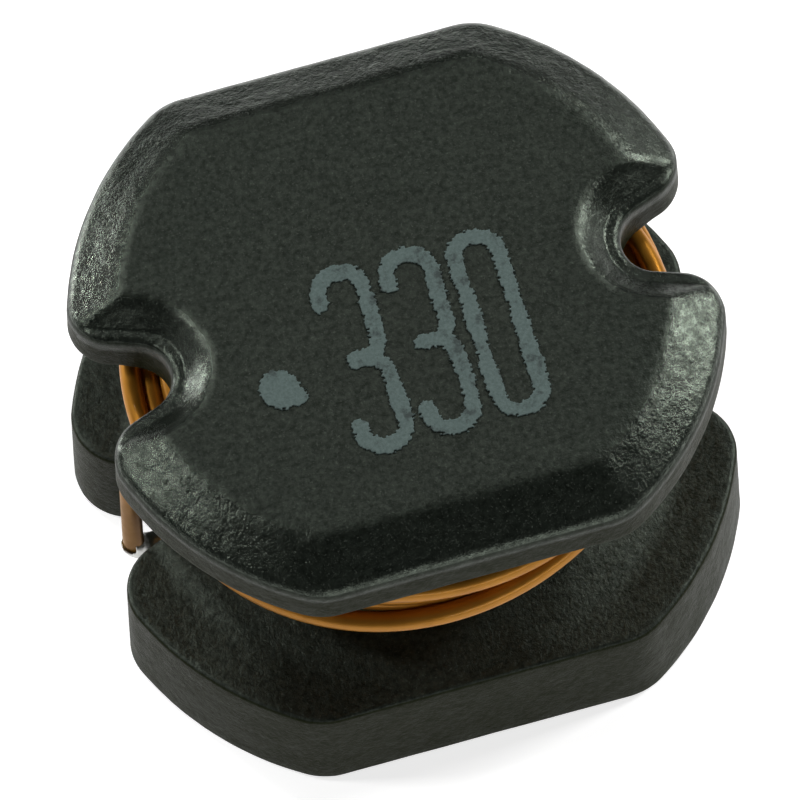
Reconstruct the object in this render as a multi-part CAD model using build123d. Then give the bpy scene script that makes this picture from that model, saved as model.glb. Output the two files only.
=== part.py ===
from build123d import *
from math import acos, atan2, cos, pi, radians, sin, sqrt, tan
import os

# Wire-wound drum inductor that is soldered flat to a board.
# Millimetres. Z is up, the solder pads rest on z = 0, the axis of the round post is the Z axis,
# X runs from one notched end to the other and Y runs across the two flats.

# Ferrite drum
disc_diameter = 8.0
base_spread = 0.05
flat_depth = 0.5
corner_radius = 0.85
base_thickness = 1.58
window_height = 2.88
rim_height = 0.58
bevel_height = 0.36
bevel_width = 0.64
post_margin = 0.2
inner_face_slope = 12.0
inner_slope_width = 0.75
foot_chamfer = 0.06

# Notch in each rounded end. In the upper flange a narrow flat land and a bevel run round it.
notch_depth = 1.15
notch_end_radius = 0.45
notch_flare = 20.0
notch_mouth_radius = 0.55
base_notch_spread = 0.07
base_mouth_radius = 0.68
land_rise = 0.08
land_width = 0.18
notch_bevel_width = 0.48

# Enamelled wire and its winding
wire_diameter = 0.26
wire_clearance = 0.012
inner_turns = 6
middle_turns = 4
outer_turns = 2
winding_gap = 0.16
lead_bend_radius = 0.32
lead_y = 0.1
finish_lead_gap = 0.027
finish_lead_slope = 11.2
finish_lead_drop = 1.18
finish_lead_start = 350.0
start_lead_inset = 0.35
start_lead_angle = -20.0
lead_end_margin = 0.12

# Solder pads, the grooves that hold the wire ends, and the solder in them
pad_thickness = 0.05
pad_bridge = 0.12
pad_margin = 0.18
groove_width = 0.46
groove_height = 0.36
groove_length = 0.95
solder_coat_radius = 0.17
solder_rise = 0.5
solder_clearance = 0.01

# Stamped ink on the top face
ink_thickness = 0.02
ink_stroke = 0.19
digit_width = 0.76
digit_height = 2.6
digit_pitch = 0.86
digit_corner = 0.34
digits_x = 0.24
digits_y = -0.7
dot_x = -1.68
dot_y = -0.8
dot_diameter = 0.52

left = -1
right = 1
on_base = (Align.CENTER, Align.CENTER, Align.MIN)

disc_radius = disc_diameter / 2
base_radius = disc_radius + base_spread
body_width = disc_diameter - 2 * flat_depth
notch_end = disc_radius - notch_depth
notch_centre = notch_end + notch_end_radius
post_radius = notch_end - post_margin
inner_face_radius = post_radius + inner_slope_width
slope_height = inner_slope_width * tan(radians(inner_face_slope))
base_bottom = pad_thickness
window_bottom = base_bottom + base_thickness
window_top = window_bottom + window_height
rim_top = window_top + rim_height
body_top = rim_top + bevel_height
groove_end = notch_end - base_notch_spread - groove_length

wire_radius = wire_diameter / 2
wire_pitch = wire_diameter + wire_clearance
layer_step = wire_pitch * sqrt(3) / 2
inner_layer_radius = post_radius + wire_clearance + wire_radius
middle_layer_radius = inner_layer_radius + layer_step
outer_layer_radius = middle_layer_radius + layer_step
highest_turn = window_top - slope_height - winding_gap
lowest_turn = highest_turn - (inner_turns - 1) * wire_pitch
wire_bed = base_bottom + wire_clearance + wire_radius
pad_start = groove_end - pad_bridge
lead_end = groove_end + lead_end_margin
start_lead_reach = notch_end + start_lead_inset
finish_lead_reach = outer_layer_radius + wire_radius + finish_lead_gap


def disc_outline(radius, inset=0.0):
    """A flange seen from above, without its notches, or the same outline drawn in by an inset."""
    disc = Circle(radius - inset) & Rectangle(2 * radius, body_width - 2 * inset)
    return fillet(disc.vertices(), corner_radius - inset)


def notch_outline(side, spread=0.0):
    """One notch seen from above, a round end and two sides that open outwards. spread widens it."""
    radius = notch_end_radius + spread
    lean = radians(notch_flare)
    root_x = notch_centre - radius * sin(lean)
    root_y = radius * cos(lean)
    mouth_x = disc_radius + notch_depth
    mouth_y = root_y + (mouth_x - root_x) * tan(lean)
    sides = make_face(
        Polyline((root_x, root_y), (mouth_x, mouth_y), (mouth_x, -mouth_y), (root_x, -root_y), close=True)
    )
    notch = sides + Pos(notch_centre, 0) * Circle(radius)
    return notch if side == right else mirror(notch, about=Plane.YZ)


def flange_outline(radius, spread, mouth_radius):
    """A flange seen from above, with both notches and their rounded mouths."""
    notched = disc_outline(radius) - notch_outline(left, spread) - notch_outline(right, spread)
    ends = [v for v in notched.vertices() if abs(v.X) > notch_centre and abs(v.Y) < notch_centre / 2]
    mouths = [v for v in ends if abs(Vector(v.X, v.Y).length - radius) < wire_clearance]
    return fillet(mouths, mouth_radius)


def upper_outline():
    """The upper flange seen from above."""
    return flange_outline(disc_radius, 0.0, notch_mouth_radius)


def base_outline():
    """The lower flange seen from above. It is a little larger and its notches are a little wider."""
    return flange_outline(base_radius, base_notch_spread, base_mouth_radius)


def notch_space(bottom, height):
    """The space inside both notches between two heights."""
    both = notch_outline(left, base_notch_spread) + notch_outline(right, base_notch_spread)
    return Pos(0, 0, bottom) * extrude(both, height)


def groove_space(side):
    """The space of the groove that holds a wire end. It opens into the notch."""
    reach = notch_centre - groove_end
    return Pos(side * (groove_end + reach / 2), lead_y, base_bottom) * Box(
        reach, groove_width, groove_height, align=(Align.CENTER, Align.CENTER, Align.MIN)
    )


def inner_slope(z, wide_radius, narrow_radius):
    """The shallow cone between a flange's inner face and the post, cut by the notches."""
    cone = Pos(0, 0, z) * Cone(wide_radius, narrow_radius, slope_height, align=on_base)
    return cone - notch_space(z, slope_height)


def base_flange():
    """Thick lower flange with a chamfered foot and the two wire grooves."""
    flange = Pos(0, 0, base_bottom) * extrude(base_outline(), base_thickness)
    flange = chamfer(flange.faces().sort_by(Axis.Z)[0].edges(), foot_chamfer)
    flange += inner_slope(window_bottom, inner_face_radius, post_radius)
    return flange - groove_space(left) - groove_space(right)


def sloped_cap():
    """The part of the upper flange above its upright rim, sloping in from the edge and the notches."""
    cap_top = Pos(0, 0, bevel_height) * disc_outline(disc_radius, bevel_width)
    cap = loft([disc_outline(disc_radius), cap_top])
    cap = cap & extrude(upper_outline(), bevel_height)
    for side in (left, right):
        land = Pos(0, 0, land_rise) * notch_outline(side, land_width)
        bevel_edge = Pos(0, 0, bevel_height) * notch_outline(side, notch_bevel_width)
        cap -= loft([land, bevel_edge])
    return Pos(0, 0, rim_top) * cap


def top_flange():
    """Upper flange with its upright rim and the sloped cap."""
    rim = Pos(0, 0, window_top) * extrude(upper_outline(), rim_height)
    slope = inner_slope(window_top - slope_height, post_radius, inner_face_radius)
    return rim + slope + sloped_cap()


def drum_core():
    """The pressed ferrite drum: two flanges on one round post."""
    post = Pos(0, 0, window_bottom) * Cylinder(post_radius, window_height, align=on_base)
    return base_flange() + post + top_flange()


def turn_section(radius, turns, top):
    """The round sections of the turns of one layer, one below another, in the plane of X and Z."""
    return [(radius, top - turn * wire_pitch) for turn in range(turns)]


def wound_turns():
    """All full turns. Each layer lies in the hollows of the layer inside it."""
    inner = turn_section(inner_layer_radius, inner_turns, highest_turn)
    middle = turn_section(middle_layer_radius, middle_turns, highest_turn - wire_pitch / 2)
    outer = turn_section(outer_layer_radius, outer_turns, highest_turn)
    bore = post_radius + wire_clearance
    outline = [(bore, inner[0][1]), outer[0], outer[-1], middle[-1], inner[-1], (bore, inner[-1][1])]
    section = make_face(Polyline(*outline, close=True))
    for place in inner + middle + outer:
        section += Pos(*place) * Circle(wire_radius)
    section -= Pos(bore / 2, window_bottom) * Rectangle(bore, 2 * window_height)
    return revolve(Plane.XZ * section, Axis.Z)


def finish_lead_route():
    """From the outer layer down across the front, over the left notch, down it and along its groove."""
    slope = radians(finish_lead_slope)
    middle_z = window_top - finish_lead_drop
    reach = finish_lead_reach / cos(slope)
    corner_distance = Vector(reach, lead_y).length
    leave = pi - atan2(lead_y, reach) + acos(outer_layer_radius / corner_distance)
    tilted = Plane(
        origin=(0, 0, middle_z), x_dir=(cos(slope), 0, sin(slope)), z_dir=(-sin(slope), 0, cos(slope))
    )
    start = radians(finish_lead_start)
    middle = (start + leave) / 2
    on_coil = [
        tilted.from_local_coords((outer_layer_radius * cos(a), outer_layer_radius * sin(a)))
        for a in (start, middle, leave)
    ]
    over_notch = tilted.from_local_coords((-reach, lead_y))
    at_foot = (-finish_lead_reach, lead_y, wire_bed)
    end = (-lead_end, lead_y, wire_bed)
    return ThreePointArc(*on_coil) + FilletPolyline(
        on_coil[-1], over_notch, at_foot, end, radius=lead_bend_radius
    )


def start_lead_route():
    """Along the right groove, up the right notch and in between the two lowest turns."""
    angle = radians(start_lead_angle)
    joint_radius = inner_layer_radius + wire_radius / 4
    return FilletPolyline(
        (lead_end, lead_y, wire_bed),
        (start_lead_reach, lead_y, wire_bed),
        (start_lead_reach, lead_y, lowest_turn),
        (joint_radius * cos(angle), joint_radius * sin(angle), lowest_turn + wire_pitch / 2),
        radius=lead_bend_radius,
    )


def wire_along(route, radius):
    """A round wire along a route."""
    return sweep(Plane(origin=route @ 0, z_dir=route % 0) * Circle(radius), path=route)


def winding():
    """The one enamelled wire: its turns and its two leads."""
    leads = wire_along(finish_lead_route(), wire_radius) + wire_along(start_lead_route(), wire_radius)
    return wound_turns() + leads


def terminal_pad(side):
    """Plated electrode under one end of the lower flange, open where the groove runs."""
    length = base_radius - pad_start
    end_zone = Pos(side * (pad_start + length / 2), 0) * Rectangle(length, body_width)
    plan = offset(base_outline(), -pad_margin) & end_zone
    return extrude(plan, pad_thickness) - Pos(0, 0, -pad_thickness) * groove_space(side)


def solder(side):
    """Solder that fills the groove round the wire end and coats the wire at the foot of the notch."""
    route = finish_lead_route() if side == left else start_lead_route()
    bed_length = notch_end - groove_end
    bed_height = base_bottom + groove_height
    bed = Pos(side * (groove_end + bed_length / 2), lead_y) * Box(
        bed_length, groove_width, bed_height, align=on_base
    )
    foot = Box(2 * disc_diameter, groove_width, solder_rise, align=on_base)
    coat = wire_along(route, solder_coat_radius) & (Pos(0, lead_y) * foot)
    return bed + coat - wire_along(route, wire_radius + solder_clearance)


def digit_three():
    """One numeral three: two open bowls of the same ink stroke, one above the other."""
    half_w = (digit_width - ink_stroke) / 2
    half_h = (digit_height - ink_stroke) / 2
    bowls = Sketch()
    for up in (1, -1):
        tip = up * (half_h - digit_corner)
        bowl = FilletPolyline(
            (-half_w, tip), (-half_w, up * half_h), (half_w, up * half_h), (half_w, 0), (-half_w / 3, 0),
            radius=digit_corner - ink_stroke / 2,
        )
        bowls += trace(bowl, ink_stroke)
    return bowls


def digit_zero():
    """One numeral zero, a closed ring of ink."""
    inner_w = digit_width - 2 * ink_stroke
    inner_h = digit_height - 2 * ink_stroke
    ring = RectangleRounded(digit_width, digit_height, digit_corner)
    return ring - RectangleRounded(inner_w, inner_h, digit_corner - ink_stroke)


def ink_mark():
    """The dot that marks the start of the winding, and a plain number beside it."""
    marks = [Pos(dot_x, dot_y) * Circle(dot_diameter / 2)]
    for place, digit in enumerate((digit_three(), digit_three(), digit_zero())):
        marks.append(Pos(digits_x + (place - 1) * digit_pitch, digits_y) * digit)
    return Pos(0, 0, body_top) * Compound([extrude(mark, ink_thickness).solid() for mark in marks])


nodes = {
    "drum_core": drum_core(),
    "winding": winding(),
    "terminal_pad_left": terminal_pad(left),
    "terminal_pad_right": terminal_pad(right),
    "solder_left": solder(left),
    "solder_right": solder(right),
    "ink_mark": ink_mark(),
}

os.makedirs("parts", exist_ok=True)
for name, shape in nodes.items():
    export_step(shape, f"parts/{name}.step")
    print(name, round(shape.volume, 3), shape.is_valid, len(shape.solids()))
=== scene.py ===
import math
import bpy
from mathutils import Matrix, Quaternion, Vector, noise


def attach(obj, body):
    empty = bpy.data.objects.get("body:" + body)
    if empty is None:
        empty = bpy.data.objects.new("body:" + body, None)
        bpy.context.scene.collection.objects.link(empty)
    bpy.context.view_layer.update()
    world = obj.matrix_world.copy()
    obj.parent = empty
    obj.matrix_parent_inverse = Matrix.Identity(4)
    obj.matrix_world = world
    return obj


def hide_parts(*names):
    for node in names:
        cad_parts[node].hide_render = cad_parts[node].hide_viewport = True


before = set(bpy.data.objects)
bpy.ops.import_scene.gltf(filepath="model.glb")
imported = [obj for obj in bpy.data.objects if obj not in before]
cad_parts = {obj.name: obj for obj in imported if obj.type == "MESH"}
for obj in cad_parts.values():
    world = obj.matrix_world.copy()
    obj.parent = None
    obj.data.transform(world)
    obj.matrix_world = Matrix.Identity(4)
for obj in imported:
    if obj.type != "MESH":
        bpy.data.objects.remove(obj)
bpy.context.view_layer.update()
bpy.ops.object.select_all(action="DESELECT")

mm = 0.001  # pieces are shaped in millimetres and brought to metres at the end


# The smaller of two heights, with the crease between them rounded
def smoothMin(a, b, soft):
    mix = max(soft - abs(a - b), 0.0) / soft
    return min(a, b) - mix * mix * soft / 4


# Millimetres to metres, smooth shading, one material, and the place in the shared frame
def finishPiece(piece, material, slotName, *nodes):
    bpy.ops.object.select_all(action="DESELECT")
    bpy.context.view_layer.objects.active = piece
    piece.select_set(True)
    piece.scale = (mm, mm, mm)
    bpy.ops.object.transform_apply(location=True, rotation=True, scale=True)
    bpy.ops.object.shade_smooth()
    piece.data.materials.clear()
    piece.data.materials.append(material)
    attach(piece, "root")
    if nodes:
        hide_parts(*nodes)


# An empty node material, with its nodes, links and shader
def newMaterial(name):
    material = bpy.data.materials.new(name)
    material.use_nodes = True
    nodes = material.node_tree.nodes
    return material, nodes, material.node_tree.links, nodes["Principled BSDF"]


# Object coordinates counted in millimetres
def millimetreCoordinates(nodes, links):
    coordinate = nodes.new("ShaderNodeTexCoord")
    mapping = nodes.new("ShaderNodeMapping")
    mapping.inputs["Scale"].default_value = (1000, 1000, 1000)
    links.new(coordinate.outputs["Object"], mapping.inputs["Vector"])
    return mapping.outputs["Vector"]


# A noise texture, scale in features per millimetre
def addNoise(nodes, links, vector, scale, detail=4.0, roughness=0.55):
    texture = nodes.new("ShaderNodeTexNoise")
    texture.inputs["Scale"].default_value = scale
    texture.inputs["Detail"].default_value = detail
    texture.inputs["Roughness"].default_value = roughness
    links.new(vector, texture.inputs["Vector"])
    return texture.outputs["Fac"]


# Maps a value from one range to another, clamped
def addRange(nodes, links, value, low, high, toLow, toHigh):
    mapRange = nodes.new("ShaderNodeMapRange")
    mapRange.inputs["From Min"].default_value = low
    mapRange.inputs["From Max"].default_value = high
    mapRange.inputs["To Min"].default_value = toLow
    mapRange.inputs["To Max"].default_value = toHigh
    links.new(value, mapRange.inputs["Value"])
    return mapRange.outputs["Result"]


# One math node. Each input is a socket or a plain number
def addMath(nodes, links, operation, first, second):
    node = nodes.new("ShaderNodeMath")
    node.operation = operation
    for socket, value in zip(node.inputs, (first, second)):
        if isinstance(value, (int, float)):
            socket.default_value = value
        else:
            links.new(value, socket)
    return node.outputs["Value"]


# Mixes two colours by a factor. Each colour is a socket or three numbers
def addColourMix(nodes, links, factor, first, second):
    node = nodes.new("ShaderNodeMix")
    node.data_type = "RGBA"
    links.new(factor, node.inputs["Factor"])
    for name, value in (("A", first), ("B", second)):
        socket = [s for s in node.inputs if s.name == name and s.type == "RGBA"][0]
        if isinstance(value, tuple):
            socket.default_value = (*value, 1)
        else:
            links.new(value, socket)
    return [s for s in node.outputs if s.type == "RGBA"][0]


# A bump of a height in millimetres, on top of another bump if one is given
def addBump(nodes, links, height, strength, distance, before=None):
    bump = nodes.new("ShaderNodeBump")
    bump.inputs["Strength"].default_value = strength
    bump.inputs["Distance"].default_value = distance * mm
    links.new(height, bump.inputs["Height"])
    if before is not None:
        links.new(before, bump.inputs["Normal"])
    return bump.outputs["Normal"]


drum = {
    "discRadius": 4.0,
    "baseRadius": 4.05,
    "halfWidth": 3.5,
    "cornerRadius": 0.85,
    "baseBottom": 0.05,
    "windowBottom": 1.63,
    "windowTop": 4.51,
    "rimTop": 5.09,
    "bevelHeight": 0.36,
    "bevelWidth": 0.64,
    "bevelSoftness": 0.08,
    "postRadius": 2.65,
    "slopeRadius": 3.40,
    "slopeAngle": 12.0,
    "notchCentre": 3.30,
    "notchRadius": 0.45,
    "notchFlare": 20.0,
    "mouthRadius": 0.55,
    "baseNotchSpread": 0.07,
    "baseMouthRadius": 0.68,
    "landRise": 0.08,
    "landWidth": 0.18,
    "notchBevelWidth": 0.48,
    "notchSoftness": 0.11,
    "edgeRound": 0.06,
    "rimRound": 0.10,
    "footRound": 0.08,
    "grooveStart": 1.83,
    "grooveWidth": 0.46,
    "grooveHeight": 0.36,
    "grooveOffset": 0.1,
    "unevenness": 0.012,
    "coarseWaves": 1.3,
    "fineWaves": 5.0,
    "leastRadius": 0.04,
    "freeInset": 0.58,  # from here inwards the notch's loop follows only in part
    "insetShare": 0.2,
    "slopeReach": 0.75,
    "solidReach": 2.6,  # inside this radius nothing is moved sideways
    "flatShine": 0.4,
    "rimShine": 0.2,
    "baseDull": 0.02,  # how far the dull walls reach: below the base's face,
    "lipDull": 0.3,  # below the window's top,
    "rimDull": 0.12,  # below the rim
    "postDull": 0.05,  # and out from the post
    "shineDrop": 0.04,
    "shineFade": 0.06,
    "darkColour": (0.0014, 0.0022, 0.0015),
    "paleColour": (0.0078, 0.0103, 0.0080),
    "speckColour": (0.046, 0.052, 0.044),
    # painted reflection: a paler colour for the dull walls, standing in for the floor they mirror
    "paintedWallReflectionColour": (0.0230, 0.0260, 0.0100),
}
quarterSteps = (20, 12, 22, 36, 18, 18)  # notch end, notch side, mouth, disc arc, corner, flat
ringSteps = {"edge": 5, "baseWall": 12, "innerFace": 14, "rimWall": 7, "bevel": 35}
undersideShares = (0.0, 0.35, 0.7, 0.94)
postShares = (0.1, 0.5, 0.9)
edgeInsets = (0.003, 0.01, 0.02, 0.034, 0.05)
bevelInset = (0.07, 0.022)  # the first ring and the step from ring to ring
capShares = (0.985, 0.965, 0.94, 0.9, 0.84, 0.76, 0.66, 0.54, 0.4, 0.26, 0.12, 0.0)


# Points along an arc, without its last one
def arcPoints(centre, radius, start, end, steps):
    angles = [start + (end - start) * i / steps for i in range(steps)]
    return [(centre[0] + radius * math.cos(a), centre[1] + radius * math.sin(a)) for a in angles]


# Points along a line, without its last one
def linePoints(start, end, steps):
    return [
        (start[0] + (end[0] - start[0]) * i / steps, start[1] + (end[1] - start[1]) * i / steps)
        for i in range(steps)
    ]


# A flange's outline seen from above, drawn in by an inset, always with the same number of points
def flangeLoop(radius, inset, spread, mouth):
    flare = math.radians(drum["notchFlare"])
    disc = radius - inset
    halfWidth = drum["halfWidth"] - inset
    corner = max(drum["cornerRadius"] - inset, drum["leastRadius"])
    mouth = max(mouth - inset, drum["leastRadius"])
    free = drum["freeInset"]
    notchRadius = drum["notchRadius"] + spread + min(inset, free)
    notchRadius += max(inset - free, 0.0) * drum["insetShare"]
    along = (math.cos(flare), math.sin(flare))
    across = (-along[1], along[0])
    root = (drum["notchCentre"] + notchRadius * across[0], notchRadius * across[1])
    # centre of the mouth's rounding: beside the notch's side and inside the disc
    offset = (root[0] + mouth * across[0], root[1] + mouth * across[1])
    half = offset[0] * along[0] + offset[1] * along[1]
    rest = offset[0] ** 2 + offset[1] ** 2 - (disc - mouth) ** 2
    reach = -half + math.sqrt(half * half - rest)
    mouthCentre = (offset[0] + reach * along[0], offset[1] + reach * along[1])
    mouthStart = (mouthCentre[0] - mouth * across[0], mouthCentre[1] - mouth * across[1])
    mouthAngle = math.atan2(mouthCentre[1], mouthCentre[0])
    # centre of the rounding between the disc and the flat
    cornerCentre = (math.sqrt((disc - corner) ** 2 - (halfWidth - corner) ** 2), halfWidth - corner)
    cornerAngle = math.atan2(cornerCentre[1], cornerCentre[0])
    steps = quarterSteps
    quarter = arcPoints((drum["notchCentre"], 0), notchRadius, math.pi, math.pi / 2 + flare, steps[0])
    quarter += linePoints(root, mouthStart, steps[1])
    quarter += arcPoints(mouthCentre, mouth, flare - math.pi / 2, mouthAngle, steps[2])
    quarter += arcPoints((0, 0), disc, mouthAngle, cornerAngle, steps[3])
    quarter += arcPoints(cornerCentre, corner, cornerAngle, math.pi / 2, steps[4])
    quarter += linePoints((cornerCentre[0], halfWidth), (0, halfWidth), steps[5])
    quarter.append((0, halfWidth))
    loop = quarter[:-1]
    loop += [(-x, y) for x, y in quarter[:0:-1]]
    loop += [(-x, -y) for x, y in quarter[:-1]]
    loop += [(x, -y) for x, y in quarter[:0:-1]]
    return loop


def scaledLoop(loop, scale):
    return [(x * scale, y * scale) for x, y in loop]


# The post's circle, with a point inwards of each point of a loop
def postLoop(loop):
    radius = drum["postRadius"]
    return [(x * radius / math.hypot(x, y), y * radius / math.hypot(x, y)) for x, y in loop]


def mixedLoop(first, second, mix):
    return [
        (a[0] + (b[0] - a[0]) * mix, a[1] + (b[1] - a[1]) * mix) for a, b in zip(first, second)
    ]


# How far a flange's inner face leans towards the window at a place
def slopeRise(x, y):
    inwards = min(max(drum["slopeRadius"] - math.hypot(x, y), 0.0), drum["slopeReach"])
    return inwards * math.tan(math.radians(drum["slopeAngle"]))


# Distance inwards from the upper flange's outline, its notches left aside
def discDistance(x, y):
    x, y = abs(x), abs(y)
    corner = drum["cornerRadius"]
    centreY = drum["halfWidth"] - corner
    centreX = math.sqrt((drum["discRadius"] - corner) ** 2 - centreY ** 2)
    angle = math.atan2(centreY, centreX)
    if y > centreY and x > centreX and math.atan2(y - centreY, x - centreX) > angle:
        return corner - math.hypot(x - centreX, y - centreY)
    return min(drum["discRadius"] - math.hypot(x, y), drum["halfWidth"] - y)


# Distance outwards from the nearer notch's outline
def notchDistance(x, y):
    x, y = abs(x) - drum["notchCentre"], abs(y)
    flare = math.radians(drum["notchFlare"])
    along = x * math.cos(flare) + y * math.sin(flare)
    across = y * math.cos(flare) - x * math.sin(flare)
    if along > 0:
        return across - drum["notchRadius"]
    return math.hypot(x, y) - drum["notchRadius"]


# Height of the top at a place: flat inside, sloping to the rim and to the notches
def capHeight(x, y):
    bevel = max(discDistance(x, y), 0.0) * drum["bevelHeight"] / drum["bevelWidth"]
    height = smoothMin(bevel, drum["bevelHeight"], drum["bevelSoftness"])
    gap = max(notchDistance(x, y), 0.0)
    rise = (drum["bevelHeight"] - drum["landRise"]) / (drum["notchBevelWidth"] - drum["landWidth"])
    land = drum["landRise"] + max(gap - drum["landWidth"], 0.0) * rise
    height = smoothMin(height, land, drum["notchSoftness"])
    return drum["rimTop"] + height


# How far a rounded edge falls at a distance from it
def edgeDrop(distance, radius):
    if distance >= radius:
        return 0.0
    return radius - math.sqrt(max(radius * radius - (radius - distance) ** 2, 0.0))


# Closed rings of points from the middle of the underside round the whole drum to its top
def drumRings():
    rings = []
    quarterTurn = [math.pi / 2 * i / ringSteps["edge"] for i in range(ringSteps["edge"] + 1)]
    wallSteps = ringSteps["baseWall"]
    faceSteps = ringSteps["innerFace"]
    edge = drum["edgeRound"]
    foot = drum["footRound"]
    spread = drum["baseNotchSpread"]
    base = drum["baseRadius"]
    baseMouth = drum["baseMouthRadius"]

    def baseLoop(inset):
        return flangeLoop(base, inset, spread, baseMouth)

    def topLoop(inset):
        return flangeLoop(drum["discRadius"], inset, 0.0, drum["mouthRadius"])

    underside = baseLoop(foot)
    for scale in undersideShares:
        rings.append([(x, y, drum["baseBottom"]) for x, y in scaledLoop(underside, scale)])
    for angle in quarterTurn:
        loop = baseLoop(foot * (1 - math.sin(angle)))
        rings.append([(x, y, drum["baseBottom"] + foot * (1 - math.cos(angle))) for x, y in loop])
    outer = baseLoop(0.0)
    lowest = drum["baseBottom"] + foot
    for i in range(1, wallSteps + 1):
        ring = []
        for x, y in outer:
            highest = drum["windowBottom"] + slopeRise(x, y) - edge
            ring.append((x, y, lowest + (highest - lowest) * i / wallSteps))
        rings.append(ring)
    for angle in quarterTurn[1:]:
        loop = baseLoop(edge * (1 - math.cos(angle)))
        drop = edge * (1 - math.sin(angle))
        rings.append([(x, y, drum["windowBottom"] + slopeRise(x, y) - drop) for x, y in loop])
    inner = baseLoop(edge)
    post = postLoop(inner)
    for i in range(1, faceSteps + 1):
        loop = mixedLoop(inner, post, i / faceSteps)
        rings.append([(x, y, drum["windowBottom"] + slopeRise(x, y)) for x, y in loop])
    for share in postShares:
        low = drum["windowBottom"] + slopeRise(drum["postRadius"], 0)
        high = drum["windowTop"] - slopeRise(drum["postRadius"], 0)
        rings.append([(x, y, low + (high - low) * share) for x, y in post])
    inner = topLoop(edge)
    post = postLoop(inner)
    for i in range(faceSteps, 0, -1):
        loop = mixedLoop(inner, post, i / faceSteps)
        rings.append([(x, y, drum["windowTop"] - slopeRise(x, y)) for x, y in loop])
    for angle in reversed(quarterTurn[1:]):
        loop = topLoop(edge * (1 - math.cos(angle)))
        drop = edge * (1 - math.sin(angle))
        rings.append([(x, y, drum["windowTop"] - slopeRise(x, y) + drop) for x, y in loop])
    outer = topLoop(0.0)
    for i in range(ringSteps["rimWall"] + 1):
        ring = []
        for x, y in outer:
            low = drum["windowTop"] - slopeRise(x, y) + edge
            high = capHeight(x, y) - drum["rimRound"]
            ring.append((x, y, low + (high - low) * i / ringSteps["rimWall"]))
        rings.append(ring)
    insets = list(edgeInsets) + [bevelInset[0] + bevelInset[1] * i for i in range(ringSteps["bevel"])]
    for inset in insets:
        loop = topLoop(inset)
        rings.append([(x, y, capHeight(x, y) - edgeDrop(inset, drum["rimRound"])) for x, y in loop])
    last = topLoop(insets[-1])
    for scale in capShares:
        rings.append([(x, y, capHeight(x, y)) for x, y in scaledLoop(last, scale)])
    return rings


# A slight waviness of the pressed surface
def uneven(x, y, z):
    place = Vector((x, y, z))
    coarse = noise.noise(place * drum["coarseWaves"])
    fine = noise.noise(place * drum["fineWaves"] + Vector((7, 3, 1)))
    return drum["unevenness"] * (coarse * 0.7 + fine * 0.3)


# How shiny a place is: 0 on the rough walls, 0.4 on the flat faces, 1 on the top's sloped edges. Where
# it is low, the material also paints the floor's reflection into the colour
def polishAt(x, y, z):
    if z < drum["windowBottom"] - drum["baseDull"]:
        return 0.0
    if drum["windowTop"] - drum["lipDull"] < z < drum["rimTop"] - drum["rimDull"]:
        return 0.0
    if z < drum["windowTop"]:
        away = math.hypot(x, y) - drum["postRadius"]
        return drum["flatShine"] if away > drum["postDull"] else 0.0
    if capHeight(x, y) - z > drum["shineDrop"]:
        return drum["rimShine"]
    down = drum["rimTop"] + drum["bevelHeight"] - capHeight(x, y)
    return drum["flatShine"] + (1 - drum["flatShine"]) * min(max(down / drum["shineFade"], 0.0), 1.0)


# One sheet of rings wrapped into the drum's skin, with the two wire grooves cut into it
def makeDrum():
    rings = drumRings()
    count = len(rings[0])
    bpy.ops.mesh.primitive_grid_add(x_subdivisions=count, y_subdivisions=len(rings) - 1, size=2)
    skin = bpy.context.object
    skin.name = "drum"
    places = []
    for ring in rings:
        closed = ring + ring[:1]
        for x, y, z in closed:
            wave = uneven(x, y, z)
            reach = math.hypot(x, y)
            share = wave / reach if reach > drum["solidReach"] else 0.0
            inside = 0.0 if z < drum["baseBottom"] + 0.001 else wave
            places += (x * (1 - abs(share)), y * (1 - abs(share)), z - abs(inside) * 0.5)
    skin.data.vertices.foreach_set("co", places)
    polish = skin.data.attributes.new("polish", "FLOAT", "POINT")
    polish.data.foreach_set("value", [polishAt(*place) for ring in rings for place in ring + ring[:1]])
    bpy.ops.object.mode_set(mode="EDIT")
    bpy.ops.mesh.select_all(action="SELECT")
    bpy.ops.mesh.remove_doubles(threshold=0.00002)
    bpy.ops.mesh.normals_make_consistent(inside=False)
    bpy.ops.object.mode_set(mode="OBJECT")
    for side in (-1, 1):
        length = drum["notchCentre"] - drum["grooveStart"]
        bpy.ops.mesh.primitive_cube_add(size=1, location=(
            side * (drum["grooveStart"] + length / 2), drum["grooveOffset"], drum["baseBottom"]
        ))
        cutter = bpy.context.object
        cutter.scale = (length, drum["grooveWidth"], drum["grooveHeight"] * 2)
        bpy.ops.object.transform_apply(location=True, rotation=True, scale=True)
        bpy.context.view_layer.objects.active = skin
        cut = skin.modifiers.new("groove", "BOOLEAN")
        cut.operation = "DIFFERENCE"
        cut.solver = "EXACT"
        cut.object = cutter
        bpy.ops.object.modifier_apply(modifier=cut.name)
        bpy.data.objects.remove(cutter)
    return skin
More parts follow.
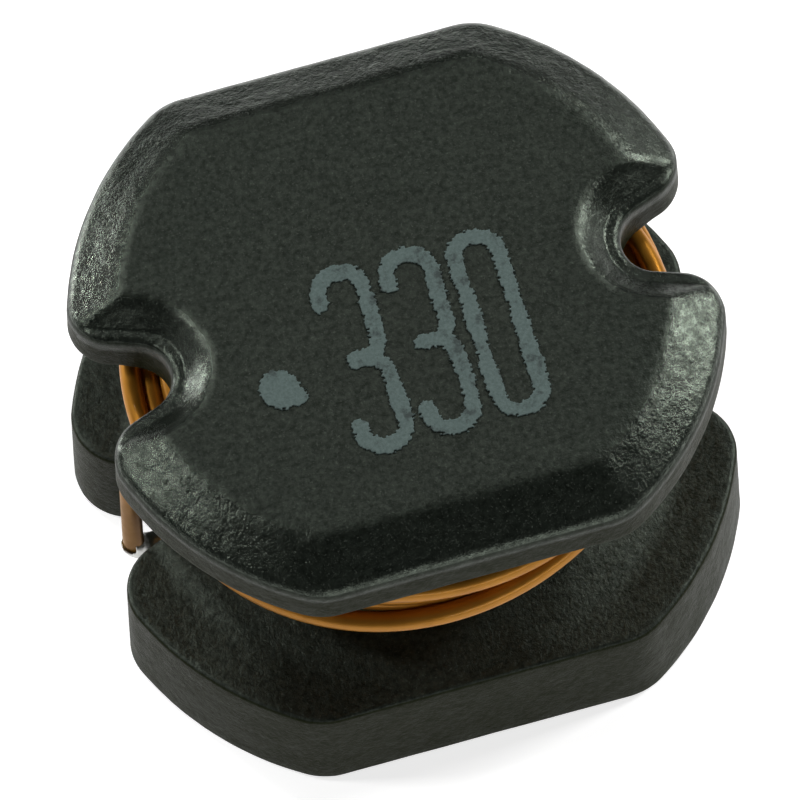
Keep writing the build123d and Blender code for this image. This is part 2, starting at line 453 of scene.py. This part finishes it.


# Sintered ferrite: nearly black, finely grained, dull with shinier worn patches. The dull walls get a
# paler colour, a painted reflection of the white floor
def ferriteMaterial():
    material, nodes, links, shader = newMaterial("sintered_ferrite")
    place = millimetreCoordinates(nodes, links)
    cloud = addNoise(nodes, links, place, 1.1, 3.0)
    patches = addNoise(nodes, links, place, 3.4, 6.0, 0.7)
    grain = addNoise(nodes, links, place, 13.0, 5.0, 0.7)
    dust = addNoise(nodes, links, place, 34.0, 2.0, 0.6)
    grainShare = addRange(nodes, links, grain, 0.36, 0.64, 0.0, 1.0)
    colour = addColourMix(nodes, links, grainShare, drum["darkColour"], drum["paleColour"])
    speck = addRange(nodes, links, dust, 0.60, 0.72, 0.0, 0.8)
    colour = addColourMix(nodes, links, speck, colour, drum["speckColour"])
    polish = nodes.new("ShaderNodeAttribute")
    polish.attribute_name = "polish"
    shine = polish.outputs["Fac"]
    # painted reflection: where the polish is low, the colour is mixed towards the paler wall colour in
    # place of the floor's mirrored light
    paintedWallReflection = addRange(nodes, links, shine, 0.0, 0.3, 0.6, 0.0)
    colour = addColourMix(nodes, links, paintedWallReflection, colour, drum["paintedWallReflectionColour"])
    links.new(colour, shader.inputs["Base Color"])
    worn = addNoise(nodes, links, place, 7.5, 6.0, 0.72)
    worn = addRange(nodes, links, worn, 0.40, 0.58, 0.0, 1.0)
    edges = addRange(nodes, links, shine, 0.4, 0.7, 0.0, 1.0)
    rubbed = addMath(nodes, links, "MULTIPLY", worn, edges)
    rough = addRange(nodes, links, patches, 0.35, 0.65, 0.38, 0.46)
    for shiny, less in ((edges, 0.15), (rubbed, 0.10)):
        rough = addMath(nodes, links, "SUBTRACT", rough, addMath(nodes, links, "MULTIPLY", shiny, less))
    rough = addMath(nodes, links, "ADD", rough, addRange(nodes, links, cloud, 0.3, 0.7, -0.03, 0.03))
    links.new(rough, shader.inputs["Roughness"])
    level = addRange(nodes, links, shine, 0.0, 0.4, 0.035, 0.50)
    speckle = addRange(nodes, links, grainShare, 0.0, 1.0, 0.7, 1.3)
    level = addMath(nodes, links, "MULTIPLY", level, speckle)
    level = addMath(nodes, links, "ADD", level, addMath(nodes, links, "MULTIPLY", rubbed, 0.45))
    links.new(level, shader.inputs["Specular IOR Level"])
    shader.inputs["Specular Tint"].default_value = (0.86, 1.0, 0.82, 1)
    normal = addBump(nodes, links, patches, 0.8, 0.026)
    normal = addBump(nodes, links, grain, 0.8, 0.008, normal)
    normal = addBump(nodes, links, dust, 0.6, 0.005, normal)
    links.new(normal, shader.inputs["Normal"])
    return material


print("ferrite drum")
drumPiece = makeDrum()
finishPiece(drumPiece, ferriteMaterial(), "ferrite", "drum_core")


wire = {
    "radius": 0.13,
    "sides": 16,
    "stepAngle": 3.0,
    "layerRadii": (2.792, 3.028, 3.263),
    "pitch": 0.272,
    "highest": 4.191,
    "lowest": 2.831,
    "innerTurns": 6,
    "middleTurns": 4,
    "arrival": 50.0,
    "sinkAngle": 70.0,
    "outerTop": 4.22,
    "outerLevel": 3.965,
    "leaveAngle": 350.0,
    "leadSlope": 11.2,
    "leadMiddle": 3.33,
    "leadReach": 3.42,
    "leadOffset": 0.1,
    "bendRadius": 0.32,
    "bed": 0.192,
    "leadEnd": 1.95,
    "startReach": 3.20,
    "startAngle": 20.0,
    "middleStart": 60.0,
    "tuckAngle": 30.0,
    "footRange": (1.6, 3.0),
    "dullColour": (0.36, 0.160, 0.020),
    "brightColour": (0.48, 0.225, 0.032),
    # painted shade: the wire's colour darkens towards the lead's foot, where it runs down the notch
    "paintedFootShadeColour": (0.105, 0.062, 0.012),
}


# A point of a turn on a layer
def onLayer(degrees, radius, z):
    angle = math.radians(degrees)
    return Vector((radius * math.cos(angle), radius * math.sin(angle), z))


# Points of a run of straight lengths with rounded bends
def roundedRun(corners, radius):
    points = [corners[0]]
    for before, corner, after in zip(corners, corners[1:], corners[2:]):
        back = (before - corner).normalized()
        ahead = (after - corner).normalized()
        opening = back.angle(ahead)
        length = radius / math.tan(opening / 2)
        centre = corner + (back + ahead).normalized() * radius / math.sin(opening / 2)
        start = corner + back * length - centre
        turn = math.pi - opening
        axis = start.cross(corner + ahead * length - centre).normalized()
        steps = max(int(math.degrees(turn) / 8), 2)
        for i in range(steps + 1):
            arm = start.copy()
            arm.rotate(Quaternion(axis, turn * i / steps))
            points.append(centre + arm)
    points.append(corners[-1])
    return points


# A round wire along points
def makeTube(name, points, radius):
    curve = bpy.data.curves.new(name, "CURVE")
    curve.dimensions = "3D"
    curve.bevel_depth = radius
    curve.bevel_resolution = wire["sides"] // 2 - 2
    curve.use_fill_caps = True
    spline = curve.splines.new("POLY")
    spline.points.add(len(points) - 1)
    for target, point in zip(spline.points, points):
        target.co = (*point, 1)
    tube = bpy.data.objects.new(name, curve)
    bpy.context.scene.collection.objects.link(tube)
    bpy.ops.object.select_all(action="DESELECT")
    bpy.context.view_layer.objects.active = tube
    tube.select_set(True)
    bpy.ops.object.convert(target="MESH")
    return bpy.context.object


# A point of the last strand, which runs across the front on a slant
def tiltedPoint(degrees, radius):
    slope = math.radians(wire["leadSlope"])
    angle = math.radians(degrees)
    x, y = radius * math.cos(angle), radius * math.sin(angle)
    return Vector((x * math.cos(slope), y, wire["leadMiddle"] + x * math.sin(slope)))


# Three layers of turns and the two leads
def makeWinding():
    tubes = []
    step = wire["stepAngle"]
    inner, middle, outer = wire["layerRadii"]
    offset = wire["leadOffset"]
    # start lead: along the groove, up the right notch and round the post, turn by turn upwards
    points = roundedRun([
        Vector((wire["leadEnd"], offset, wire["bed"])),
        Vector((wire["startReach"], offset, wire["bed"])),
        Vector((wire["startReach"], offset, wire["lowest"])),
        onLayer(-wire["startAngle"], inner, wire["lowest"]),
    ], wire["bendRadius"])
    travelled = step
    total = wire["innerTurns"] * 360
    while travelled <= total:
        rise = min(travelled / 360, wire["innerTurns"] - 1) * wire["pitch"]
        points.append(onLayer(-wire["startAngle"] - travelled, inner, wire["lowest"] + rise))
        travelled += step
    tubes.append(makeTube("inner", points, wire["radius"]))
    # middle layer, downwards, both its ends tucked in between the turns below
    points = []
    total = wire["middleTurns"] * 360
    travelled = 0
    while travelled <= total:
        fall = min(travelled / 360, wire["middleTurns"] - 1) * wire["pitch"]
        tuck = max(1 - min(travelled, total - travelled) / wire["tuckAngle"], 0.0)
        z = wire["highest"] - wire["pitch"] / 2 - fall
        points.append(onLayer(wire["middleStart"] - travelled, middle + (inner - middle) * tuck, z))
        travelled += step
    tubes.append(makeTube("middle", points, wire["radius"]))
    # outer turn, then the last strand slanting across the front, over the left notch and down it
    points = []
    arrival = wire["arrival"]
    travelled = -360 - arrival
    while travelled < 0:
        share = min(max((travelled + 360 + arrival) / arrival, 0.0), 1.0)
        share = share * share * (3 - 2 * share)
        sink = min(max((travelled + 360) / wire["sinkAngle"], 0.0), 1.0)
        sink = sink * sink * (3 - 2 * sink)
        arriving = wire["highest"] - wire["pitch"] / 2
        z = arriving + (wire["outerTop"] - arriving) * share
        z += (wire["outerLevel"] - wire["outerTop"]) * sink
        points.append(onLayer(wire["leaveAngle"] - travelled, middle + (outer - middle) * share, z))
        travelled += step
    slope = math.radians(wire["leadSlope"])
    reach = wire["leadReach"] / math.cos(slope)
    distance = math.hypot(reach, offset)
    leave = 180 + math.degrees(math.acos(outer / distance) - math.atan2(offset, reach))
    degrees = wire["leaveAngle"]
    while degrees > leave:
        points.append(tiltedPoint(degrees, outer))
        degrees -= step
    overNotch = Vector((-reach * math.cos(slope), offset, wire["leadMiddle"] - reach * math.sin(slope)))
    points += roundedRun([
        tiltedPoint(leave, outer),
        overNotch,
        Vector((-wire["leadReach"], offset, wire["bed"])),
        Vector((-wire["leadEnd"], offset, wire["bed"])),
    ], wire["bendRadius"])
    tubes.append(makeTube("outer", points, wire["radius"]))
    bpy.ops.object.select_all(action="DESELECT")
    for tube in tubes:
        tube.select_set(True)
    bpy.context.view_layer.objects.active = tubes[0]
    bpy.ops.object.join()
    whole = bpy.context.object
    whole.name = "wire_winding"
    return whole


# Copper under clear enamel: a warm metal seen through a smooth, slightly uneven coat, coloured darker
# towards the foot as painted shade
def wireMaterial():
    material, nodes, links, shader = newMaterial("enamelled_copper")
    place = millimetreCoordinates(nodes, links)
    tone = addNoise(nodes, links, place, 1.6, 3.0)
    drawn = addNoise(nodes, links, place, 9.0, 4.0)
    tone = addRange(nodes, links, tone, 0.3, 0.7, 0.0, 1.0)
    colour = addColourMix(nodes, links, tone, wire["dullColour"], wire["brightColour"])
    height = nodes.new("ShaderNodeSeparateXYZ")
    links.new(place, height.inputs["Vector"])
    # painted shade: darker towards the foot of the lead, where it runs down the notch
    foot = addRange(nodes, links, height.outputs["Z"], *wire["footRange"], 0.85, 0.0)
    colour = addColourMix(nodes, links, foot, colour, wire["paintedFootShadeColour"])
    links.new(colour, shader.inputs["Base Color"])
    shader.inputs["Metallic"].default_value = 0.45
    shader.inputs["Specular Tint"].default_value = (1.0, 0.6, 0.25, 1)
    shader.inputs["Specular IOR Level"].default_value = 0.25
    links.new(addRange(nodes, links, drawn, 0.3, 0.7, 0.32, 0.42), shader.inputs["Roughness"])
    coat = addRange(nodes, links, height.outputs["Z"], *wire["footRange"], 0.05, 0.2)
    links.new(coat, shader.inputs["Coat Weight"])
    shader.inputs["Coat Roughness"].default_value = 0.08
    shader.inputs["Coat Tint"].default_value = (1.0, 0.78, 0.45, 1)
    links.new(addBump(nodes, links, drawn, 0.25, 0.006), shader.inputs["Normal"])
    return material


print("enamelled wire")
windingPiece = makeWinding()
finishPiece(windingPiece, wireMaterial(), "enamelled_wire", "winding")


solder = {
    "blockStart": 1.83,
    "blockEnd": 2.86,
    "blockWidth": 0.46,
    "blockHeight": 0.41,
    "coatRadius": 0.165,
    "coatTop": 0.46,
    "voxel": 0.018,
    "smoothing": 6,
    "bendRadius": 0.256,
    "lastStep": 0.02,
}


# Tin: satin grey metal, cloudy and slightly pitted
def tinMaterial(name, dull, bright, rough, ripple):
    material, nodes, links, shader = newMaterial(name)
    place = millimetreCoordinates(nodes, links)
    cloud = addNoise(nodes, links, place, 2.2, 5.0, 0.6)
    frost = addNoise(nodes, links, place, 14.0, 4.0, 0.65)
    colour = addColourMix(nodes, links, addRange(nodes, links, cloud, 0.3, 0.7, 0.0, 1.0), dull, bright)
    links.new(colour, shader.inputs["Base Color"])
    shader.inputs["Metallic"].default_value = 1.0
    haze = addRange(nodes, links, cloud, 0.3, 0.7, rough - 0.08, rough + 0.1)
    links.new(haze, shader.inputs["Roughness"])
    normal = addBump(nodes, links, cloud, 0.5, ripple)
    links.new(addBump(nodes, links, frost, 0.5, ripple / 3, normal), shader.inputs["Normal"])
    return material


# The solder of one wire end: it fills the groove and coats the wire at the foot of the notch
def makeSolder(side, reach, pieceName):
    y = wire["leadOffset"]
    length = solder["blockEnd"] - solder["blockStart"]
    bpy.ops.object.select_all(action="DESELECT")
    coat = makeTube(pieceName, roundedRun([
        Vector((side * solder["blockStart"], y, wire["bed"])),
        Vector((side * reach, y, wire["bed"])),
        Vector((side * reach, y, solder["coatTop"] - solder["lastStep"])),
        Vector((side * reach, y, solder["coatTop"])),
    ], solder["bendRadius"]), solder["coatRadius"])
    bpy.ops.mesh.primitive_cube_add(size=1, location=(
        side * (solder["blockStart"] + length / 2), y, solder["blockHeight"] / 2
    ))
    block = bpy.context.object
    block.scale = (length, solder["blockWidth"], solder["blockHeight"])
    bpy.ops.object.transform_apply(location=True, rotation=True, scale=True)
    coat.select_set(True)
    bpy.context.view_layer.objects.active = coat
    bpy.ops.object.join()
    blob = bpy.context.object
    remesh = blob.modifiers.new("even", "REMESH")
    remesh.mode = "VOXEL"
    remesh.voxel_size = solder["voxel"]
    bpy.ops.object.modifier_apply(modifier=remesh.name)
    soften = blob.modifiers.new("soften", "SMOOTH")
    soften.factor = 0.5
    soften.iterations = solder["smoothing"]
    bpy.ops.object.modifier_apply(modifier=soften.name)
    return blob


print("solder and pads")
solderMaterial = tinMaterial("tin_solder", (0.50, 0.50, 0.49), (0.68, 0.68, 0.66), 0.34, 0.03)
blobLeft = makeSolder(-1, wire["leadReach"], "solder_blob_left")
finishPiece(blobLeft, solderMaterial, "solder", "solder_left")
blobRight = makeSolder(1, wire["startReach"], "solder_blob_right")
finishPiece(blobRight, solderMaterial, "solder", "solder_right")
padMaterial = tinMaterial("tin_plating", (0.55, 0.55, 0.53), (0.72, 0.72, 0.70), 0.30, 0.012)
for nodeName in ("terminal_pad_left", "terminal_pad_right"):
    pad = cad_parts[nodeName]
    pad.data.materials.clear()
    pad.data.materials.append(padMaterial)


ink = {
    "cell": 0.0125,
    "bottom": 5.45,
    "thickness": 0.018,
    "stroke": 0.215,
    "digitWidth": 0.76,
    "digitHeight": 2.6,
    "digitPitch": 0.86,
    "bowlRadius": 0.245,
    "centre": (0.24, -0.7),
    "dotCentre": (-1.68, -0.8),
    "dotRadius": 0.26,
    "smearCentre": (-1.50, -0.94),
    "smearRadius": 0.14,
    "raggedness": 0.040,
    "swelling": 0.035,
    "margin": 0.15,
    "hookLength": 0.095,
    "searchCell": 0.2,
    "searchReach": 0.36,
    "darkColour": (0.072, 0.106, 0.099),
    "paleColour": (0.130, 0.176, 0.165),
    "thinColour": (0.030, 0.038, 0.036),
}


# A stroke's centre line as short straight pieces
def roundedStroke(corners, radius):
    points = roundedRun([Vector((x, y, 0)) for x, y in corners], radius)
    return [(p.x, p.y) for p in points]


# Centre lines of the three digits
def strokeLines():
    halfWidth = (ink["digitWidth"] - ink["stroke"]) / 2
    halfHeight = (ink["digitHeight"] - ink["stroke"]) / 2
    bowl = ink["bowlRadius"]
    lines = []
    for place in (-1, 0):
        x = ink["centre"][0] + place * ink["digitPitch"]
        y = ink["centre"][1]
        for up in (1, -1):
            lines.append(roundedStroke([
                (x - halfWidth, y + up * (halfHeight - bowl - ink["hookLength"])),
                (x - halfWidth, y + up * halfHeight),
                (x + halfWidth, y + up * halfHeight),
                (x + halfWidth, y),
                (x - halfWidth / 3, y),
            ], bowl))
    x = ink["centre"][0] + ink["digitPitch"]
    y = ink["centre"][1]
    for up in (1, -1):
        lines.append(roundedStroke([
            (x - halfWidth, y),
            (x - halfWidth, y + up * halfHeight),
            (x + halfWidth, y + up * halfHeight),
            (x + halfWidth, y),
        ], bowl))
    return lines


def segmentDistance(x, y, start, end):
    dx, dy = end[0] - start[0], end[1] - start[1]
    length = dx * dx + dy * dy
    share = max(0.0, min(1.0, ((x - start[0]) * dx + (y - start[1]) * dy) / length))
    return math.hypot(x - start[0] - share * dx, y - start[1] - share * dy)


# How far inside the printed shape a place is, with the ragged edge of a rubber stamp
def inkDepth(x, y, segments):
    inside = ink["dotRadius"] - math.hypot(x - ink["dotCentre"][0], y - ink["dotCentre"][1])
    smear = ink["smearCentre"]
    inside = max(inside, ink["smearRadius"] - math.hypot(x - smear[0], y - smear[1]))
    for start, end in segments:
        inside = max(inside, ink["stroke"] / 2 - segmentDistance(x, y, start, end))
    teeth = noise.noise(Vector((x * 13.0, y * 30.0, 3.0)))
    teeth += 0.6 * noise.noise(Vector((x * 27.0, y * 50.0, 8.0)))
    swell = noise.noise(Vector((x * 2.6, y * 2.6, 5.0)))
    return inside + ink["raggedness"] * teeth + ink["swelling"] * swell


# A fine sheet over the marks, of which the printed cells stay and get the ink's thickness
def makeInk():
    cell = ink["cell"]
    segments = [pair for line in strokeLines() for pair in zip(line, line[1:])]
    x, y = ink["centre"]
    reach = ink["digitHeight"] / 2 + ink["margin"]
    low = (ink["dotCentre"][0] - 0.4, y - reach)
    high = (x + 1.5 * ink["digitPitch"] + ink["margin"], y + reach)
    columns = int((high[0] - low[0]) / cell)
    rows = int((high[1] - low[1]) / cell)
    bpy.ops.mesh.primitive_grid_add(x_subdivisions=columns, y_subdivisions=rows, size=1)
    sheet = bpy.context.object
    sheet.name = "ink_stamp"
    sheet.scale = (columns * cell, rows * cell, 1)
    sheet.location = (low[0] + columns * cell / 2, low[1] + rows * cell / 2, ink["bottom"])
    bpy.ops.object.transform_apply(location=True, rotation=True, scale=True)
    bpy.ops.object.mode_set(mode="EDIT")
    bpy.ops.mesh.select_mode(type="VERT")
    bpy.ops.mesh.select_all(action="DESELECT")
    bpy.ops.object.mode_set(mode="OBJECT")
    near = {}
    square = ink["searchCell"]
    for vertex in sheet.data.vertices:
        x, y = vertex.co.x, vertex.co.y
        key = (int(x // square), int(y // square))
        if key not in near:
            middle = ((key[0] + 0.5) * square, (key[1] + 0.5) * square)
            near[key] = [s for s in segments if segmentDistance(*middle, *s) < ink["searchReach"]]
        vertex.select = inkDepth(x, y, near[key]) < 0
    bpy.ops.object.mode_set(mode="EDIT")
    bpy.ops.mesh.delete(type="VERT")
    bpy.ops.mesh.select_all(action="SELECT")
    bpy.ops.mesh.extrude_region_move(TRANSFORM_OT_translate={"value": (0, 0, ink["thickness"])})
    bpy.ops.mesh.select_all(action="SELECT")
    bpy.ops.mesh.normals_make_consistent(inside=False)
    bpy.ops.object.mode_set(mode="OBJECT")
    return sheet


# Matt grey stamping ink, thin and patchy, so that the dark ferrite shows through in places
def inkMaterial():
    material, nodes, links, shader = newMaterial("stamping_ink")
    place = millimetreCoordinates(nodes, links)
    cover = addNoise(nodes, links, place, 5.0, 6.0, 0.7)
    grain = addNoise(nodes, links, place, 26.0, 4.0, 0.7)
    tone = addRange(nodes, links, grain, 0.3, 0.7, 0.0, 1.0)
    colour = addColourMix(nodes, links, tone, ink["darkColour"], ink["paleColour"])
    thin = addRange(nodes, links, cover, 0.34, 0.46, 0.75, 0.0)
    colour = addColourMix(nodes, links, thin, colour, ink["thinColour"])
    links.new(colour, shader.inputs["Base Color"])
    links.new(addRange(nodes, links, grain, 0.3, 0.7, 0.6, 0.8), shader.inputs["Roughness"])
    shader.inputs["Specular IOR Level"].default_value = 0.25
    links.new(addBump(nodes, links, grain, 0.5, 0.010), shader.inputs["Normal"])
    return material


print("stamped ink")
inkPiece = makeInk()
finishPiece(inkPiece, inkMaterial(), "ink", "ink_mark")


studio = {
    "viewLean": 64.48,
    "viewTurn": 12.75,
    "viewRoll": 3.71,
    "frameWidth": 0.009694,
    "cameraDistance": 0.08,
    "lookHeight": 0.00451,
    "shiftRight": 0.0000342,
    "shiftUp": -0.0008524,
    "floorSize": 0.8,
    "floorDrop": 0.00001,
    "lampAim": 0.004,
    "floorGlow": 0.72,
    "horizon": 0.20,
    "overhead": 0.06,
}
softboxes = (  # name, direction from the part, distance, width, height, power
    ("softbox_left", (-0.66, 0.75, 0.05), 0.08, 0.016, 0.008, 0.022),
    ("softbox_left_high", (-0.35, 0.52, 0.78), 0.08, 0.010, 0.014, 0.012),
    ("softbox_left_low", (-0.70, 0.18, 0.69), 0.08, 0.010, 0.010, 0.014),
    ("softbox_right", (0.84, 0.10, 0.54), 0.08, 0.013, 0.017, 0.024),
    ("softbox_right_back", (0.66, 0.42, 0.63), 0.08, 0.011, 0.011, 0.018),
    ("softbox_top", (0.1, 0.56, 0.82), 0.04, 0.024, 0.016, 0.00022),
    ("softbox_front", (0.1, -0.95, 0.26), 0.10, 0.080, 0.016, 0.017),
)


# A long, flat view of the part at the photograph's angle
def makeCamera():
    turn = math.radians(studio["viewTurn"])
    lean = math.radians(studio["viewLean"])
    roll = math.radians(studio["viewRoll"])
    flatRight = Vector((math.cos(turn), -math.sin(turn), 0))
    flatUp = Vector((math.sin(turn) * math.sin(lean), math.cos(turn) * math.sin(lean), math.cos(lean)))
    back = Vector((-math.sin(turn) * math.cos(lean), -math.cos(turn) * math.cos(lean), math.sin(lean)))
    right = flatRight * math.cos(roll) - flatUp * math.sin(roll)
    up = flatRight * math.sin(roll) + flatUp * math.cos(roll)
    target = Vector((0, 0, studio["lookHeight"])) + right * studio["shiftRight"] + up * studio["shiftUp"]
    bpy.ops.object.camera_add(location=target + back * studio["cameraDistance"])
    camera = bpy.context.object
    camera.name = "camera"
    axes = Matrix((right, up, back)).transposed()
    camera.rotation_euler = axes.to_euler()
    camera.data.type = "ORTHO"
    camera.data.ortho_scale = studio["frameWidth"]
    camera.data.clip_start = 0.001
    bpy.context.scene.camera = camera


# A wide pale floor. It shows white to the camera and in reflections, and keeps the part's shadow
def makeFloor():
    bpy.ops.mesh.primitive_plane_add(size=studio["floorSize"], location=(0, 0, -studio["floorDrop"]))
    floor = bpy.context.object
    floor.name = "floor"
    material, nodes, links, shader = newMaterial("white_floor")
    shader.inputs["Base Color"].default_value = (0.90, 0.90, 0.90, 1)
    shader.inputs["Roughness"].default_value = 0.9
    shader.inputs["Specular IOR Level"].default_value = 0.1
    path = nodes.new("ShaderNodeLightPath")
    seen = addMath(nodes, links, "MAXIMUM", path.outputs["Is Camera Ray"], path.outputs["Is Glossy Ray"])
    seen = addMath(nodes, links, "MAXIMUM", seen, path.outputs["Is Transmission Ray"])
    shader.inputs["Emission Color"].default_value = (1, 1, 1, 1)
    glow = addMath(nodes, links, "MULTIPLY", seen, studio["floorGlow"])
    links.new(glow, shader.inputs["Emission Strength"])
    # clear from below, so that the underside of the part can be looked at
    clear = nodes.new("ShaderNodeBsdfTransparent")
    either = nodes.new("ShaderNodeMixShader")
    links.new(nodes.new("ShaderNodeNewGeometry").outputs["Backfacing"], either.inputs["Fac"])
    links.new(shader.outputs["BSDF"], either.inputs[1])
    links.new(clear.outputs["BSDF"], either.inputs[2])
    links.new(either.outputs["Shader"], nodes["Material Output"].inputs["Surface"])
    floor.data.materials.append(material)


# Soft grey surroundings, paler round the horizon, white where the camera sees them
def makeWorld():
    world = bpy.data.worlds.new("studio")
    bpy.context.scene.world = world
    world.use_nodes = True
    nodes = world.node_tree.nodes
    links = world.node_tree.links
    coordinate = nodes.new("ShaderNodeTexCoord")
    parts = nodes.new("ShaderNodeSeparateXYZ")
    links.new(coordinate.outputs["Generated"], parts.inputs["Vector"])
    level = addRange(nodes, links, parts.outputs["Z"], 0.05, 0.55, studio["horizon"], studio["overhead"])
    seen = nodes.new("ShaderNodeLightPath").outputs["Is Camera Ray"]
    links.new(addMath(nodes, links, "MAXIMUM", level, seen), nodes["Background"].inputs["Strength"])
    nodes["Background"].inputs["Color"].default_value = (1, 1, 1, 1)


# A rectangular lamp that looks at the part from a direction
def addSoftbox(name, direction, distance, width, height, power):
    away = Vector(direction).normalized()
    bpy.ops.object.light_add(type="AREA", location=away * distance + Vector((0, 0, studio["lampAim"])))
    lamp = bpy.context.object
    lamp.name = name
    lamp.data.shape = "RECTANGLE"
    lamp.data.size = width
    lamp.data.size_y = height
    lamp.data.energy = power
    lamp.rotation_euler = away.to_track_quat("Z", "Y").to_euler()


print("camera, floor and lamps")
bpy.context.scene.view_settings.view_transform = "Standard"
makeCamera()
makeFloor()
makeWorld()
for softbox in softboxes:
    addSoftbox(*softbox)
